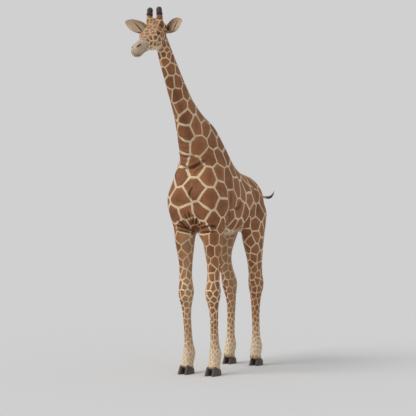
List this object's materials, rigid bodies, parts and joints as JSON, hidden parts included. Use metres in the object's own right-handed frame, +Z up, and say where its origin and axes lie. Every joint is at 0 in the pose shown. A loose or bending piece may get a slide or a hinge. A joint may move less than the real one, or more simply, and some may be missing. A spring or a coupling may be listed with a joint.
{
  "type": "standing giraffe, life-size museum model",
  "caption": "Life-size standing adult giraffe with a long raised neck, bald-topped ossicones, ears held out, short mane and a tufted tail, resting flat on its cloven hooves.",
  "frame": {"origin": "on the floor, under the middle of the whole figure", "axes": "+Z up, the animal faces -Y, its left side is at +X"},
  "size_m": [0.867, 4.2644, 4.9496],
  "materials": {
    "coat": "short hair, chestnut patches parted by narrow cream lines",
    "ossicone": "worn dark skin with a haired base",
    "eye": "wet and dark",
    "hoof": "dull dark horn",
    "hair": "coarse upright or hanging hair"
  },
  "bodies": {
    "root": {"head": "coat", "neck": "coat", "trunk": "coat", "tail": "coat", "leg_fore_left": "coat", "leg_fore_right": "coat", "leg_hind_left": "coat", "leg_hind_right": "coat", "ear_left": "coat", "ear_right": "coat", "ossicone_left": "ossicone", "ossicone_right": "ossicone", "eye_left": "eye", "eye_right": "eye", "hoof_fore_left_inner": "hoof", "hoof_fore_left_outer": "hoof", "hoof_fore_right_inner": "hoof", "hoof_fore_right_outer": "hoof", "hoof_hind_left_inner": "hoof", "hoof_hind_left_outer": "hoof", "hoof_hind_right_inner": "hoof", "hoof_hind_right_outer": "hoof", "mane": "hair", "tail_tuft": "hair"}
  },
  "joints": []
}
